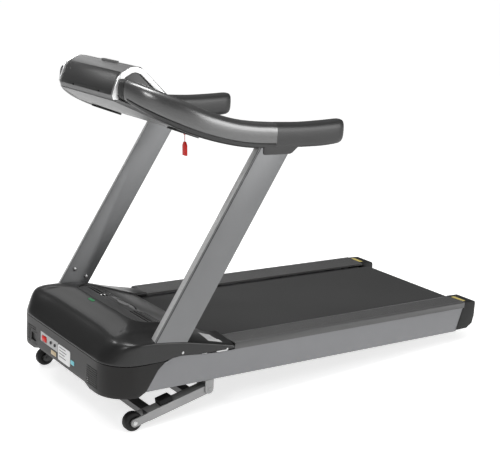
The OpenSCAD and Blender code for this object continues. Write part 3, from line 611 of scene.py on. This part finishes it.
def face_outwards(obj):
    """Turns a mirrored mesh's faces outwards again."""
    skin = bmesh.new()
    skin.from_mesh(obj.data)
    bmesh.ops.recalc_face_normals(skin, faces=skin.faces)
    skin.to_mesh(obj.data)
    skin.free()


def label(name, centre, half, material, tip=0.0, normal="z", thick=0.7,
          slot="power_plate_grey"):
    """Blank sticker with round corners, lying flat, tipped up by tip degrees about X, or upright."""
    hx, hy = half
    radius = min(hx, hy) * 0.25
    outline = []
    for cx, cy, start in ((hx - radius, hy - radius, 0), (radius - hx, hy - radius, 90),
                          (radius - hx, radius - hy, 180), (hx - radius, radius - hy, 270)):
        for k in range(5):
            a = math.radians(start + 22.5 * k)
            outline.append((cx + radius * math.cos(a), cy + radius * math.sin(a)))
    rings = []
    for level, shrink in ((-thick, 0), (thick * 0.7, 0), (thick, 0.3)):
        ring = []
        for u, v in outline:
            scale_u, scale_v = 1 - shrink / hx, 1 - shrink / hy
            local = Vector((u * scale_u, v * scale_v, level))
            if normal == "front":
                local = Vector((local.x, -local.z, local.y))
            local = Matrix.Rotation(math.radians(tip), 3, "X") @ local
            ring.append(local + Vector(centre))
        rings.append(ring)
    return dress(loft(name, rings), "root", slot, EXTRA[material])


def make_front_labels():
    """Blank stickers on the nose, on the end caps and at the hood's tail."""
    front = NOSE_Y + 1.4
    label("label_white", (37, front - 0.3, 156), (56, 34), "label_white", normal="front")
    label("label_tan", (-62, front - 0.3, 133), (24, 9), "label_tan", normal="front")
    label("label_teal", (114, front - 0.3, 150), (16, 9), "label_teal", normal="front")
    for row, (x, w) in enumerate(((22, 30), (26, 34), (18, 26), (24, 32))):
        label(f"label_bar_{row + 1}", (x, front - 1.1, 180 - 13 * row), (w, 1.6), "label_ink",
              normal="front", thick=0.4)
    for side, name in ((1, "left"), (-1, "right")):
        label("cap_sticker_" + name, (side * 381, 952, 251.6), (38, 11), "label_yellow",
              slot="black_plastic")
    drape_label("tail_label", (340, 420), (-520, -452), "label_white")


def drape_label(name, across, along, material, cells=8):
    """Blank sticker lying on the curved side of the hood."""
    points = []
    for i in range(cells + 1):
        for j in range(cells + 1):
            x = across[0] + (across[1] - across[0]) * i / cells
            y = along[0] + (along[1] - along[0]) * j / cells
            points.append((x, y, shell_height(y, HALF_W - x) + 0.9))
    obj = form(name, points, tube_faces(cells + 1, cells + 1, closed=False))
    add_modifier(obj, "SOLIDIFY", thickness=0.8 * MM, offset=0)
    return dress(obj, "root", "power_plate_grey", EXTRA[material])


# ---------------------------------------------------------------- uprights
LEAN = math.radians(30.76)
UP_OUT = deck_box("upright_left")[1].x
UP_IN = UP_OUT - 27
UP_FOOT = Vector((0, -777.6, 324.4))
UP_ALONG = Vector((0, math.sin(LEAN), math.cos(LEAN)))
UP_ACROSS = Vector((0, math.cos(LEAN), -math.sin(LEAN)))


def on_upright(side, x, along, back):
    """Point along an upright from its foot, and back from its front edge."""
    return Vector((side * x, 0, 0)) + UP_FOOT + UP_ALONG * along + UP_ACROSS * back


def upright_bar(name, side, section, start, end, slot, material, bevel=0.6):
    """Bar along an upright; section is a list of (x, back) corners."""
    rings = [[on_upright(side, x, t, b) for x, b in section] for t in (start, end)]
    return dress(loft(name, rings), "root", slot, material, bevel=bevel)


def make_uprights():
    """Uprights with a bright strip down the front and a dark seam down the side."""
    for side, name in ((1, "left"), (-1, "right")):
        refined("upright_" + name, bevel=2.2, segments=3)
        upright_bar("upright_strip_" + name, side, ((UP_IN + 2.5, -3.5), (UP_IN + 2.5, -5.6),
                    (UP_OUT - 4.5, 0.2), (UP_OUT - 4.5, 2.6)), -60, 870, "upright_silver",
                    EXTRA["strip_metal"], bevel=0.5)
        upright_bar("upright_seam_" + name, side, ((UP_OUT - 1.2, 4.5), (UP_OUT + 0.35, 4.5),
                    (UP_OUT + 0.35, 9), (UP_OUT - 1.2, 9)), -100, 868, "rubber",
                    EXTRA["dark_seam"], bevel=0.2)


# ---------------------------------------------------------------- handrails and grips
RAIL = ((226, -856, 1284, 68, 36), (258, -851, 1281, 78, 44), (300, -831, 1268, 92, 53),
        (348, -796, 1248, 104, 60), (388, -738, 1220, 114, 60), (410, -665, 1190, 117, 58),
        (421, -580, 1160, 112, 57), (424, -470, 1132, 108, 57), (424, -370, 1117, 108, 57),
        (424, -262, 1110, 107, 57))
GRIP = ((424, -261.6, 1110, 107, 57), (424, -140, 1108, 104, 57), (424, -20, 1110, 107, 57),
        (424, 52, 1114.5, 105.5, 56.5), (424, 74, 1116, 100, 52), (424, 85, 1117, 89, 44),
        (424, 90.5, 1118, 72, 33), (424, 92, 1118, 50, 20))


def smooth_path(path, steps):
    """Catmull-Rom stations through a path of (x, y, z, height, width)."""
    result = []
    for i in range(len(path) - 1):
        a, b, c, d = (Vector(path[min(max(i + k, 0), len(path) - 1)]) for k in (-1, 0, 1, 2))
        for s in range(steps):
            t = s / steps
            result.append(0.5 * (2 * b + (c - a) * t + (2 * a - 5 * b + 4 * c - d) * t * t
                                 + (3 * b - a - 3 * c + d) * t ** 3))
    result.append(Vector(path[-1]))
    return result


def rail_ring(side, path, i, grow=0.0, low=-1.0, high=1.0, around=40):
    """Rounded section of a handrail, flattened where its height passes low or high (-1 to 1)."""
    ahead, behind = path[min(i + 1, len(path) - 1)], path[max(i - 1, 0)]
    turn = math.atan2(ahead[0] - behind[0], ahead[1] - behind[1])
    x, y, z, height, width = path[i]
    ring = []
    for k in range(around):
        a = 2 * math.pi * k / around
        u = math.copysign(abs(math.cos(a)) ** 0.7, math.cos(a)) * (width / 2 + grow)
        v = math.copysign(abs(math.sin(a)) ** 0.7, math.sin(a))
        v = min(max(v, low), high) * (height / 2 + grow)
        ring.append(Vector((side * (x + u * math.cos(turn)), y - u * math.sin(turn), z + v)))
    return ring


def rail_piece(name, side, path, first, last, body, slot, material=None, stands_for=(),
               **section):
    """Stretch of a handrail between two stations of its path."""
    rings = [rail_ring(side, path, i, **section) for i in range(first, last + 1)]
    return dress(loft(name, rings), body, slot, material, stands_for=stands_for, sharp=55)


def make_handrails():
    """Handrail shells with a darker lower strip and a seam, and the soft grips behind them."""
    fine = smooth_path(RAIL, 6)
    grip = smooth_path(GRIP, 4)
    for side, name in ((1, "left"), (-1, "right")):
        rail_piece("handrail_shell_" + name, side, fine, 0, len(fine) - 1, "root", "handrail_grey",
                   stands_for=("handrail_" + name,), grow=-0.4)
        rail_piece("handrail_lower_strip_" + name, side, fine, 9, len(fine) - 1, "root",
                   "handrail_grey", EXTRA["rail_under"], grow=-0.05, high=-0.62)
        rail_piece("handrail_seam_" + name, side, fine, 9, len(fine) - 1, "root",
                   "handrail_grey", EXTRA["dark_seam"], grow=-0.1, low=-0.61, high=-0.57)
        rail_piece("handrail_ring_" + name, side, fine, 3, 7, "root", "console_dark",
                   EXTRA["dark_seam"], grow=1.0)
        rail_piece("grip_shell_" + name, side, grip, 0, len(grip) - 1, "root", "grip_grey",
                   stands_for=("grip_" + name,), grow=0.0)
        make_grip_boss(side, name)


def make_grip_boss(side, name):
    """Socket under the grip that takes the upright's top."""
    outline = ((-319, 1056), (-318, 1038), (-310, 1033.5), (-250, 1032.5), (-184, 1032),
               (-172, 1036), (-158, 1048), (-140, 1062), (-128, 1068), (-128, 1084),
               (-319, 1084))
    xs = (UP_IN - 4, UP_OUT + 5)
    rings = [[(side * x, y, z) for y, z in outline] for x in xs]
    dress(loft("grip_boss_" + name, rings), "root", "grip_grey", bevel=5, segments=4, sharp=50)


# ---------------------------------------------------------------- console
def face_point(x, down, out):
    """Point on the runner's face: across, down the slope from its top edge, and out of it."""
    top, bottom = Vector((0, -772, 1363)), Vector((0, -600, 1213))
    slope = (bottom - top).normalized()
    normal = Vector((0, -slope.z, slope.y))
    return Vector((x, 0, 0)) + top + slope * down + normal * out


def face_block(name, x0, x1, down0, down1, out0, out1, body, slot, material=None, bevel=0.4):
    """Rounded bar lying on the runner's face of the console."""
    points = [face_point(x, d, o) for x in (x0, x1) for d in (down0, down1) for o in (out0, out1)]
    return dress(form(name, points, BOX_FACES), body, slot, material, bevel=bevel)


def face_arrow(name, x, down, size, body, way):
    """Raised arrow on a rocker, pointing up the slope or down it."""
    points = [face_point(x + dx * size, down + way * dd * size, out)
              for out in (2.4, 3.6) for dx, dd in ((-1, 0.5), (1, 0.5), (0, -0.8))]
    faces = [(0, 1, 2), (3, 5, 4), (0, 3, 4, 1), (1, 4, 5, 2), (2, 5, 3, 0)]
    return dress(form(name, points, faces), body, "key_grey", EXTRA["label_ink"], bevel=0.3)


def make_console():
    """Console housing, and the runner's face with its lit display, keys and bezel."""
    refined("console_housing", bevel=2.5, segments=4, sharp=40)
    refined("console_back_panel", bevel=1.2, segments=3)
    refined("console_arches", bevel=2.2, segments=4, sharp=60)
    refined("console_tray", bevel=5, segments=4, sharp=45)
    refined("console_face", bevel=0.6)
    refined("display_screen", bevel=0.5)
    refined("cup_holders", bevel=1.2, segments=3)
    for node in ("stop_button", "start_key", "speed_rocker", "incline_rocker"):
        refined(node, bevel=1.2, segments=3)
    for column in range(12):
        tall = 8 + 26 * abs(math.sin(column * 0.55))
        x = -120 + column * 13
        face_block(f"display_bar_{column + 1}", x, x + 8, 96 - tall, 96, 0.4, 0.9, "root",
                   "screen_glass", EXTRA["display_lit"], bevel=0.15)
    for row in range(3):
        face_block(f"display_window_{row + 1}", 62, 132, 34 + 24 * row, 50 + 24 * row, 0.4, 0.9,
                   "root", "screen_glass", EXTRA["display_lit"], bevel=0.15)
    for x, body in ((130, "speed_rocker"), (-130, "incline_rocker")):
        face_arrow(body + "_up", x, 158, 7, body, 1)
        face_arrow(body + "_down", x, 186, 7, body, -1)
    trim = [face_point(x, d, o) for x, d, o in ((-154, 18, 1), (154, 18, 1), (154, 122, 1),
                                                (-154, 122, 1))]
    inner = [face_point(x, d, 1) for x, d in ((-150, 22), (150, 22), (150, 118), (-150, 118))]
    lift = face_point(0, 0, 1.6) - face_point(0, 0, 0)
    points = trim + inner + [p + lift for p in trim] + [p + lift for p in inner]
    faces = []
    for k in range(4):
        m = (k + 1) % 4
        faces += [(k, m, 4 + m, 4 + k), (8 + k, 12 + k, 12 + m, 8 + m), (k, 8 + k, 8 + m, m),
                  (4 + k, 4 + m, 12 + m, 12 + k)]
    dress(form("display_bezel", points, faces), "root", "chrome_trim", bevel=0.4)


# ---------------------------------------------------------------- wheels, feet and lift
def make_wheels():
    """Turned tyres and hubs, with dimples on both faces and a bolt through the lift arm."""
    for side, name in ((1, "left"), (-1, "right")):
        low, high = deck_box("wheel_" + name)
        middle = (low + high) / 2
        radius = (high.z - low.z) / 2
        half = (high.x - low.x) / 2
        tyre = [(-half + 5, 14), (-half + 4, 22), (-half + 2.2, 25), (-half + 2.2, 30),
                (-half + 4.2, radius - 4), (-half + 6.5, radius - 1.4), (-half + 10, radius - 0.15),
                (0, radius), (half - 10, radius - 0.15), (half - 6.5, radius - 1.4),
                (half - 4.2, radius - 4), (half - 2.2, 30), (half - 2.2, 25), (half - 4, 22),
                (half - 5, 14)]
        obj = lathe("tyre_" + name, tyre, middle, around=72)
        dress(obj, "wheel_" + name, "wheel_black", stands_for=("wheel_" + name,), sharp=40)
        hub = [(-half + 2, 6.1), (-half + 2, 12), (-half + 3, 13.5), (-half + 6, 14.5),
               (half - 6, 14.5), (half - 3, 13.5), (half - 2, 12), (half - 2, 6.1)]
        dress(lathe("wheel_hub_" + name, hub, middle), "wheel_" + name, "wheel_black",
              EXTRA["hub_grey"], sharp=40)
        for spoke in range(5):
            a = 2 * math.pi * spoke / 5
            for face, x in (("out", half - 4.6), ("in", 4.6 - half)):
                centre = middle + Vector((x, 18.5 * math.cos(a), 18.5 * math.sin(a)))
                dress(lathe(f"wheel_dimple_{name}_{face}_{spoke + 1}",
                            [(-1, 0), (-1, 2.6), (0.6, 2.6), (1.0, 1.8), (1.0, 0)], centre,
                            around=20), "wheel_" + name, "wheel_black")
        cap = [(-1.5, 0), (-1.5, 9.5), (1.2, 9.5), (3.0, 8), (4.0, 5), (4.3, 0)]
        centre = (0, middle.y, middle.z)
        bolt = lathe("axle_bolt_" + name, [(a * side + side * 434.5, r) for a, r in cap], centre,
                     around=6 * 4)
        dress(bolt, "lift_frame", "lift_silver", MATERIALS["zinc"], sharp=30)


def make_lift():
    """Incline frame, dark between its arms, with the parts that move it."""
    tray_half = deck_box("motor_tray")[1].x
    dark = (MATERIALS["motor_paint"], lambda p: abs(p.x) < tray_half + 38)
    refined("lift_frame", bevel=2.0, segments=3, paint_faces=dark)
    refined("lift_brackets", bevel=1.0)
    refined("lift_bump_stops", bevel=4, segments=4)
    for node in ("lift_motor", "lift_screw", "foot_studs", "rear_foot_left", "rear_foot_right"):
        refined(node, bevel=1.0)


def make_deck():
    """Everything along the deck, as the CAD has it with its edges rounded."""
    for name in ("left", "right"):
        refined("side_panel_" + name, bevel=1.4, segments=3)
        refined("end_cap_" + name, bevel=6, segments=5, sharp=50)
        refined("foot_rail_" + name, bevel=0.35, segments=1)
        refined("frame_rail_" + name, bevel=1.5)
    for node, bevel in (("deck_board", 1.5), ("deck_cushions", 1.0), ("middle_crossmember", 1.5),
                        ("rear_crossmember", 1.5), ("motor_tray", 1.0), ("front_roller", 0.8),
                        ("rear_roller", 0.8), ("roller_axles", 0.8), ("drive_motor", 1.0),
                        ("motor_rotor", 0.8), ("motor_controller", 0.5), ("vent_panel", 0.5),
                        ("power_plate", 0.6), ("power_inlet", 0.8), ("power_switch", 0.6),
                        ("breaker_button_1", 0.8), ("breaker_button_2", 0.8),
                        ("upright_bolts", 1.0)):
        refined(node, bevel=bevel)
    NODES["running_belt"].data.materials.clear()
    NODES["running_belt"].data.materials.append(MATERIALS["belt"])
    NODES["drive_belt"].data.materials.clear()
    NODES["drive_belt"].data.materials.append(MATERIALS["rubber"])


# ---------------------------------------------------------------- safety key, cord and tag
CORD_TOP = JOINTS["safety_tag_swing"]["pos_m"]
CORD_D = 3 * MM
CORD_LENGTH = 30 * MM
CORD_STEPS = 15
CORD_POINTS = [(CORD_TOP[0], CORD_TOP[1], CORD_TOP[2] - CORD_LENGTH * k / CORD_STEPS)
               for k in range(CORD_STEPS + 1)]


def make_safety_tag():
    """Safety key, its limp cord and the tag that hangs from it."""
    refined("safety_key", bevel=0.8)
    tag = refined("safety_tag", bevel=1.6, segments=3)
    curve = bpy.data.curves.new("tag_cord", "CURVE")
    curve.dimensions = "3D"
    curve.bevel_depth = CORD_D / 2
    curve.bevel_resolution = 4
    curve.use_fill_caps = True
    spline = curve.splines.new("POLY")
    spline.points.add(len(CORD_POINTS) - 1)
    for point, place in zip(spline.points, CORD_POINTS):
        point.co = (*place, 1)
    cord = bpy.data.objects.new("tag_cord", curve)
    bpy.context.scene.collection.objects.link(cord)
    curve.materials.append(MATERIALS["cord_red"])
    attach(cord, "safety_tag")
    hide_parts("safety_cord")


add_camera()
make_safety_tag()
add_studio()
add_floor()
make_hood_top()
make_hood_lower()
make_hood_details()
make_front_labels()
make_uprights()
make_handrails()
make_console()
make_wheels()
make_lift()
make_deck()
